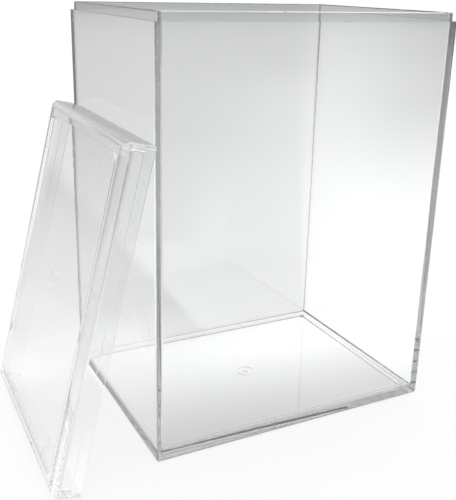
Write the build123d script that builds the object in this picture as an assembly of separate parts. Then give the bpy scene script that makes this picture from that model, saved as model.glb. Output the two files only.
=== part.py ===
# Clear figure display case: a deep box moulded with its floor, and the shallow lid that closes its top.
# The lid is shown taken off, standing on one short side and leaning on the case's left wall.
# Millimetres, +Z up. The case is centred on X and Y and stands on Z = 0.
from build123d import *
from math import cos, radians, sin, tan
import os

# Outside of the case, measured at the shoulder that the lid closes onto
case_width = 148.0
case_depth = 111.6
shoulder_height = 190.0

# Walls of both mouldings
wall = 2.6
wall_draft = 0.5
corner_radius = 0.5
inner_corner_radius = 1.0
inner_floor_radius = 1.4
base_edge_radius = 1.6

# Rim: a thin tongue stands inside the shoulder, and the lid's lip slips down round it
tongue_height = 3.9
tongue_inset = 1.5
tongue_corner_radius = 0.5
tongue_lead_in = 0.4
fit_clearance = 0.15

# Floor: a thick border along the walls round a sunk centre
floor_thickness = 3.5
pocket_depth = 1.3
pocket_edge_radius = 0.4

# Foot: the underside stands on a low plateau that drops inside the raised border of another lid
foot_drop = 0.5
foot_clearance = 0.4
foot_wall = 1.2
foot_edge_radius = 0.4
step_corner_radius = 4.0

# Lid
lid_height = 13.0
panel_thickness = 2.4
lid_edge_radius = 3.6
lid_inner_radius = 1.2
stack_border = 6.0
stack_recess = 1.5
stack_edge_radius = 0.3

# Plain round gate mark at the middle of the floor and of the lid
gate_ring_radius = 4.8
gate_ring_width = 0.7
gate_ring_height = 0.3
gate_nub_radius = 1.1
gate_nub_height = 0.35

# How the lid leans: angle from upright, turn about the vertical, place along the wall, gap to the wall
lean_angle = 13.1
lean_turn = -1.0
lean_along_wall = -6.0
lean_gap = 0.3

draft_run = tan(radians(wall_draft))
rim_height = shoulder_height + tongue_height
border_top = floor_thickness + pocket_depth
foot_width = case_width - 2 * (stack_border + foot_clearance)
foot_depth = case_depth - 2 * (stack_border + foot_clearance)


def plate(width, depth, radius, z):
    """A flat rectangle with rounded corners at height z."""
    return Pos(0, 0, z) * RectangleRounded(width, depth, radius)


def straight_block(width, depth, radius, low, high):
    """An upright block with rounded corners, from height low to height high."""
    return extrude(plate(width, depth, radius, low), high - low)


def edges_at(shape, z):
    """The edges of a shape that lie at height z."""
    return shape.edges().filter_by_position(Axis.Z, z - 0.01, z + 0.01)


def upright_edges(shape):
    """The four edges that run up the corners of a block."""
    tall = shape.bounding_box().size.Z / 2
    return shape.edges().filter_by(lambda edge: abs((edge @ 1 - edge @ 0).Z) > tall)


def rounded(block, z, edge_radius, upright_radius):
    """A square block with the edges at height z rounded first, and then its four upright corners."""
    block = fillet(edges_at(block, z), edge_radius)
    return fillet(upright_edges(block), upright_radius)


def drafted_block(inset, low, high):
    """A block whose sides stay one inset inside the case's outer walls, which lean out towards the mouth."""
    lean = (shoulder_height - low) * draft_run + inset
    return extrude(
        Pos(0, 0, low) * Rectangle(case_width - 2 * lean, case_depth - 2 * lean),
        high - low,
        taper=-wall_draft,
    )


def gate_mark(z):
    """A low plain ring with a nub in its middle, standing on a face at height z."""
    ring = Cylinder(gate_ring_radius, gate_ring_height, align=(Align.CENTER, Align.CENTER, Align.MIN))
    hole = Cylinder(
        gate_ring_radius - gate_ring_width, gate_ring_height, align=(Align.CENTER, Align.CENTER, Align.MIN)
    )
    nub = Cylinder(gate_nub_radius, gate_nub_height, align=(Align.CENTER, Align.CENTER, Align.MIN))
    return [Pos(0, 0, z) * (ring - hole), Pos(0, 0, z) * nub]


def make_case():
    """The deep box: drafted walls, stepped rim, sunk floor and stacking foot in one moulding."""
    shell = drafted_block(0, foot_drop, shoulder_height)
    shell = rounded(shell, foot_drop, base_edge_radius, corner_radius)

    tongue = straight_block(
        case_width - 2 * tongue_inset,
        case_depth - 2 * tongue_inset,
        tongue_corner_radius,
        shoulder_height,
        rim_height,
    )
    tongue = chamfer(edges_at(tongue, rim_height), tongue_lead_in)

    foot = straight_block(foot_width, foot_depth, step_corner_radius, 0, foot_drop)
    foot = fillet(edges_at(foot, 0), foot_edge_radius)

    cavity = drafted_block(wall, border_top, rim_height)
    cavity = rounded(cavity, border_top, inner_floor_radius, inner_corner_radius)
    pocket = straight_block(
        foot_width - 2 * foot_wall,
        foot_depth - 2 * foot_wall,
        step_corner_radius - foot_wall,
        floor_thickness,
        border_top,
    )
    pocket = fillet(edges_at(pocket, floor_thickness), pocket_edge_radius)
    return shell + tongue + foot - cavity - pocket + gate_mark(floor_thickness)


def make_lid():
    """The lid as it closes, with its lip on Z = 0 and its panel up."""
    body = extrude(Rectangle(case_width, case_depth), lid_height, taper=wall_draft)
    body = rounded(body, lid_height, lid_edge_radius, corner_radius)

    panel_face = lid_height - stack_recess
    recess = straight_block(
        case_width - 2 * stack_border,
        case_depth - 2 * stack_border,
        step_corner_radius,
        panel_face,
        lid_height,
    )
    recess = fillet(edges_at(recess, panel_face), stack_edge_radius)

    inside_depth = panel_face - panel_thickness
    inside = extrude(Rectangle(case_width - 2 * wall, case_depth - 2 * wall), inside_depth)
    inside = rounded(inside, inside_depth, lid_inner_radius, inner_corner_radius)
    lip_thickness = tongue_inset - fit_clearance
    rabbet = straight_block(
        case_width - 2 * lip_thickness,
        case_depth - 2 * lip_thickness,
        tongue_corner_radius + fit_clearance,
        0,
        tongue_height + fit_clearance,
    )
    return body - recess - inside - rabbet + gate_mark(panel_face)


def lean_on_case(lid):
    """Stands the lid on the lip of one short side, with its far lip just clear of the case's left wall."""
    lean = radians(lean_angle)
    turn = radians(lean_turn)
    touch_height = case_width * cos(lean)
    wall_x = -(case_width / 2 - (shoulder_height - touch_height) * draft_run)
    reach = case_width * sin(lean) * cos(turn) + case_depth / 2 * abs(sin(turn))
    foot_x = wall_x - lean_gap - reach
    upright = Rot(0, lean_angle - 90, 0) * Pos(case_width / 2, 0, 0) * lid
    return Pos(foot_x, lean_along_wall, 0) * Rot(0, 0, lean_turn) * upright


parts = {
    "case_body": make_case(),
    "lid": lean_on_case(make_lid()),
}

os.makedirs("parts", exist_ok=True)
for name, part in parts.items():
    part.label = name
    export_step(part, f"parts/{name}.step")
    print(name, len(part.solids()), "solid", round(part.volume), "mm3", part.bounding_box())
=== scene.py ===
import math

import bmesh
import bpy
from mathutils import Matrix, Vector

# Clear moulded display case with its lid leaning on one wall, on a white sweep. Metres, +Z up.

MM = 0.001

# Camera, read from the edges of the case and lid in the photograph
PHOTO_WIDTH, PHOTO_HEIGHT = 456, 500
FOCAL_PX = 770.6
AXIS_PX = (227.7, 196.45)
CAMERA_PLACE = (-183.6 * MM, -328.0 * MM, 204.5 * MM)
CAMERA_YAW, CAMERA_DOWN, CAMERA_ROLL = -27.52, 15.5, 1.45
SENSOR_MM = 36.0

# Clear plastic: share of the light that passes without haze, and darkening for each metre of depth
REFRACTIVE_INDEX = 1.59
CASE_CLARITY, CASE_DARKENING = 0.99, 6.0
LID_CLARITY, LID_DARKENING = 1.0, 0.5
# The second colour is painted shade: the rim above the shoulder is greyed in place of its dark reflection
CLEAR, RIM_PAINTED_GREY, DEPTH_TINT = "fbfcfb", "e6e8ea", "003050"
SHOULDER = 190 * MM
RIM_PAINTED_EDGE = (SHOULDER - 0.1 * MM, SHOULDER + 0.2 * MM, 0.0, 1.0)
WAVE_LENGTH, WAVE_HEIGHT = 14 * MM, 0.006 * MM
LIGHT_BOUNCES = 96

# Studio: strength of the light by the sine of its height, and its share on the camera's side
SKY = (0.02, 0.9, 0.46, 1.5)
ROOM = (0.0, -0.7, 1.0, 0.7)

# Floor, and the share of it that is an even white to the eye, where the rest is lit and shaded
FLOOR_HALF = 9.0
FLOOR_GAP = 0.1 * MM
FLAT_SHARE = 0.85

# Painted light and shade of the floor, which it glows with in the plastic: two places, in metres or degrees,
# and the factor at each of them
NEAR_FALL = (0.15, 0.77, 1.03, 0.91)
LONG_FALL = (0.7, 7.0, 1.0, 0.76)
FAR_FALL = (3.8, 5.5, 1.0, 0.85)
BACK_CORNER = (70 * MM, 54 * MM)
LIT_BORDER = (31.23, 35.24, 0.0, 1.0)
LIT_NEAR = 1.21
LIT_FAR = (36, 48, 1.12, 0.88)
LIT_SPREAD = (0.25, 1.2, 0.0, 1.0)
SHADE_BORDER = (6, 1.4, 0.0, 1.0)
SHADE_NEAR = (0.12, 0.25, 0.80, 0.77)
SHADE_FAR = (0.36, 1.04, 1.0, 0.81)
SHADE_STRIP = (0.03, 0.055, 1.0, 1.11)
SHADE_REST = (0.07, 0.12, 1.0, 0.9)
SHADE_END = (-18, -30, 1.0, 1.09)
FRONT_START = (0.12, 0.16, 0.0, 1.0)
FRONT_ROOM = (21, 37, 0.22, 1.15)
FRONT_SIDE = (12, -18, 1.0, 3.4)
FRONT_FAR = (-0.5, -1.68, 1.0, 0.22)
BEHIND = (-0.06, 0.0, 0.0, 1.0)
UNDER_DEPTH = (-0.058, 0.044, 0.57, 1.21)
UNDER_WIDTH = (-0.07, 0.07, 0.90, 1.13)
FOOT_WIDTH = (0.071, 0.074, 1.0, 0.0)
FOOT_DEPTH = (0.0525, 0.0555, 1.0, 0.0)


def linear(hex_code):
    """An sRGB hex colour as linear red, green, blue and alpha."""
    parts = [int(hex_code[i:i + 2], 16) / 255 for i in (0, 2, 4)]
    return (*[c / 12.92 if c <= 0.04045 else ((c + 0.055) / 1.055) ** 2.4 for c in parts], 1.0)


def add(tree, kind, inputs=None, **settings):
    """Adds a node with its settings. An input is a value, or the node or socket that is linked into it."""
    node = tree.nodes.new(kind)
    for key, value in settings.items():
        setattr(node, key, value)
    for key, value in (inputs or {}).items():
        if isinstance(value, bpy.types.Node):
            value = value.outputs[0]
        if isinstance(value, bpy.types.NodeSocket):
            tree.links.new(value, node.inputs[key])
        else:
            node.inputs[key].default_value = value
    return node


def tone(tree, *steps):
    """Its steps multiplied: nodes as they are, and sockets with a smooth change between two places."""
    total = None
    for step in steps:
        if isinstance(step, tuple):
            socket, (low, high, start, end) = step
            change = {"Value": socket, "From Min": low, "From Max": high, "To Min": start, "To Max": end}
            step = add(tree, "ShaderNodeMapRange", change, interpolation_type="SMOOTHSTEP")
        if total is not None:
            step = add(tree, "ShaderNodeMath", {0: total, 1: step}, operation="MULTIPLY")
        total = step
    return total


def crystal_polystyrene(name, clarity, darkening):
    """Crystal polystyrene from a polished mould: water clear and glossy, with bright and dark edge lines."""
    material = bpy.data.materials.new(name)
    material.use_nodes = True
    tree = material.node_tree
    shader = tree.nodes["Principled BSDF"]
    shader.inputs["Base Color"].default_value = linear(CLEAR)
    shader.inputs["Roughness"].default_value = 0.0
    shader.inputs["IOR"].default_value = REFRACTIVE_INDEX
    shader.inputs["Transmission Weight"].default_value = clarity
    depth = add(tree, "ShaderNodeVolumeAbsorption", {"Color": linear(DEPTH_TINT), "Density": darkening})
    tree.links.new(depth.outputs[0], tree.nodes["Material Output"].inputs["Volume"])
    # Sink and flow of the melt leave broad low waves in a moulded wall
    place = add(tree, "ShaderNodeTexCoord").outputs["Object"]
    waves = add(tree, "ShaderNodeTexNoise", {"Vector": place, "Scale": 1 / WAVE_LENGTH, "Detail": 1.0})
    bump = add(tree, "ShaderNodeBump", {"Height": waves, "Strength": 1.0, "Distance": WAVE_HEIGHT})
    tree.links.new(bump.outputs[0], shader.inputs["Normal"])
    return material


def paint_rim_shade(material):
    """The standing rim above the shoulder, painted a little grey as shade in place of its dark reflection."""
    tree = material.node_tree
    place = add(tree, "ShaderNodeTexCoord").outputs["Object"]
    height = add(tree, "ShaderNodeSeparateXYZ", {0: place}).outputs["Z"]
    colours = {"Factor": tone(tree, (height, RIM_PAINTED_EDGE)), "A": linear(CLEAR), "B": linear(RIM_PAINTED_GREY)}
    colour = add(tree, "ShaderNodeMix", colours, data_type="RGBA")
    tree.links.new(colour.outputs["Result"], tree.nodes["Principled BSDF"].inputs["Base Color"])


def painted_floor_shading(tree):
    """Painted light and shade of the floor as the plastic shows it, by place round the case."""
    place = add(tree, "ShaderNodeTexCoord").outputs["Object"]
    reach = add(tree, "ShaderNodeVectorMath", {0: place}, operation="LENGTH").outputs["Value"]
    x, y, _ = add(tree, "ShaderNodeSeparateXYZ", {0: place}).outputs
    width, depth = [add(tree, "ShaderNodeMath", {0: axis}, operation="ABSOLUTE") for axis in (x, y)]
    past_corner = [add(tree, "ShaderNodeMath", {0: axis, 1: corner}, operation="SUBTRACT")
                   for axis, corner in zip((x, y), BACK_CORNER)]
    turns = [add(tree, "ShaderNodeMath", {0: aside, 1: away}, operation="ARCTAN2")
             for aside, away in ((x, depth), past_corner)]
    turn, corner_turn = [add(tree, "ShaderNodeMath", {0: angle}, operation="DEGREES") for angle in turns]

    # Painted light: behind the case on the right it is painted bright, past the edge of the case's painted
    # shadow, a border that starts at the back corner
    spread = {"Factor": tone(tree, (reach, LIT_SPREAD)), "A": LIT_NEAR, "B": tone(tree, (turn, LIT_FAR))}
    lit = add(tree, "ShaderNodeMix", spread)
    lit = add(tree, "ShaderNodeMix", {"Factor": tone(tree, (corner_turn, LIT_BORDER)), "A": 1.0, "B": lit})
    # Painted shade: on the left it is painted in the soft shade of the case and lid, with a lighter strip in
    # line with the back wall
    shade = tone(tree, (reach, SHADE_NEAR), (reach, SHADE_FAR), (y, SHADE_STRIP), (y, SHADE_REST))
    shade = add(tree, "ShaderNodeMix", {"Factor": tone(tree, (turn, SHADE_BORDER)), "A": 1.0, "B": shade})
    rear = tone(tree, lit, shade, (turn, SHADE_END))
    # Painted shade of the room: in front it is painted darker, but for the far left and right
    room = tone(tree, (turn, FRONT_ROOM), (turn, FRONT_SIDE))
    room = add(tree, "ShaderNodeMix", {"Factor": tone(tree, (reach, FRONT_START)), "A": 1.0, "B": room})
    front = tone(tree, room, (y, FRONT_FAR))
    around = add(tree, "ShaderNodeMix", {"Factor": tone(tree, (y, BEHIND)), "A": front, "B": rear})
    # Painted light and shade under the case: lightest along the back wall
    under = tone(tree, (y, UNDER_DEPTH), (x, UNDER_WIDTH))
    foot = tone(tree, (width, FOOT_WIDTH), (depth, FOOT_DEPTH))
    whole = add(tree, "ShaderNodeMix", {"Factor": foot, "A": around, "B": under})
    # Painted fall-off of the light with distance from the case
    return tone(tree, (reach, NEAR_FALL), (reach, LONG_FALL), (reach, FAR_FALL), whole)


def white_sweep():
    """Matt white paper. It is white to the eye, and in the plastic it glows with painted light and shade,
    falling off to grey with distance.
    """
    material = bpy.data.materials.new("white_paper_sweep")
    material.use_nodes = True
    tree = material.node_tree
    tree.nodes.clear()
    path = add(tree, "ShaderNodeLightPath").outputs
    seen = add(tree, "ShaderNodeMix", {"Factor": path["Is Camera Ray"], "A": painted_floor_shading(tree), "B": 1.0})
    plastic = add(tree, "ShaderNodeMath", {0: path["Is Glossy Ray"], 1: path["Is Transmission Ray"]},
                  operation="MAXIMUM")
    eye = add(tree, "ShaderNodeMath", {0: path["Is Camera Ray"], 1: FLAT_SHARE}, operation="MULTIPLY")
    share = add(tree, "ShaderNodeMath", {0: plastic, 1: eye}, operation="MAXIMUM")
    lit = add(tree, "ShaderNodeBsdfDiffuse", {"Color": seen})
    even = add(tree, "ShaderNodeEmission", {"Strength": seen})
    both = add(tree, "ShaderNodeMixShader", {0: share, 1: lit, 2: even})
    add(tree, "ShaderNodeOutputMaterial", {"Surface": both})
    return material


def studio_world():
    """Soft light from above and behind, with the darker room on the camera's side, and white to the eye."""
    world = bpy.data.worlds.new("studio")
    bpy.context.scene.world = world
    world.use_nodes = True
    tree = world.node_tree
    tree.nodes.clear()
    place = add(tree, "ShaderNodeTexCoord").outputs["Generated"]
    axes = add(tree, "ShaderNodeSeparateXYZ", {0: place}).outputs
    soft = tone(tree, (axes["Z"], SKY), (axes["Y"], ROOM))
    path = add(tree, "ShaderNodeLightPath").outputs
    seen = add(tree, "ShaderNodeMix", {"Factor": path["Is Camera Ray"], "A": soft, "B": 1.0})
    light = add(tree, "ShaderNodeBackground", {"Strength": seen, "Color": (1.0, 1.0, 1.0, 1.0)})
    add(tree, "ShaderNodeOutputWorld", {"Surface": light})


def make_floor():
    """A wide flat floor under the case."""
    mesh = bpy.data.meshes.new("sweep")
    form = bmesh.new()
    bmesh.ops.create_grid(form, x_segments=1, y_segments=1, size=FLOOR_HALF)
    bmesh.ops.translate(form, verts=form.verts, vec=(0, 0, -FLOOR_GAP))
    form.to_mesh(mesh)
    form.free()
    floor = bpy.data.objects.new("sweep", mesh)
    bpy.context.scene.collection.objects.link(floor)
    mesh.materials.append(white_sweep())


def make_camera():
    """The photograph's viewpoint."""
    yaw, down, roll = map(math.radians, (CAMERA_YAW, CAMERA_DOWN, CAMERA_ROLL))
    forward = Vector((-math.sin(yaw) * math.cos(down), math.cos(yaw) * math.cos(down), -math.sin(down)))
    level = Vector((math.cos(yaw), math.sin(yaw), 0))
    upright = level.cross(forward)
    right = math.cos(roll) * level + math.sin(roll) * upright
    up = -math.sin(roll) * level + math.cos(roll) * upright
    data = bpy.data.cameras.new("camera")
    data.sensor_width = SENSOR_MM
    data.lens = FOCAL_PX / PHOTO_HEIGHT * SENSOR_MM
    data.shift_x = (PHOTO_WIDTH / 2 - AXIS_PX[0]) / PHOTO_HEIGHT
    data.shift_y = (AXIS_PX[1] - PHOTO_HEIGHT / 2) / PHOTO_HEIGHT
    camera = bpy.data.objects.new("camera", data)
    turn = Matrix((right, up, -forward)).transposed().to_4x4()
    camera.matrix_world = Matrix.Translation(CAMERA_PLACE) @ turn
    bpy.context.scene.collection.objects.link(camera)
    bpy.context.scene.camera = camera


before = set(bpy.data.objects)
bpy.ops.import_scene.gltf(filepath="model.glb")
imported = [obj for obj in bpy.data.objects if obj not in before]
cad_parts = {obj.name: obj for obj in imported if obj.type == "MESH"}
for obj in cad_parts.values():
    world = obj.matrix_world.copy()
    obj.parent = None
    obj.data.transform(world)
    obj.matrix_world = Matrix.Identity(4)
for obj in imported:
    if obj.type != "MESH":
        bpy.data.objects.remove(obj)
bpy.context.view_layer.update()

make_camera()
studio_world()
make_floor()

clear = {
    "case_body": crystal_polystyrene("crystal_polystyrene_case", CASE_CLARITY, CASE_DARKENING),
    "lid": crystal_polystyrene("crystal_polystyrene_lid", LID_CLARITY, LID_DARKENING),
}
# Painted shade on the case's rim above the shoulder
paint_rim_shade(clear["case_body"])
for node, material in clear.items():
    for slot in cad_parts[node].material_slots:
        slot.material = material

bpy.context.scene.view_settings.view_transform = "Standard"
# Light runs a long way inside the walls before it leaves at an edge
cycles = bpy.context.scene.cycles
cycles.max_bounces = LIGHT_BOUNCES
cycles.glossy_bounces = LIGHT_BOUNCES
cycles.transmission_bounces = LIGHT_BOUNCES
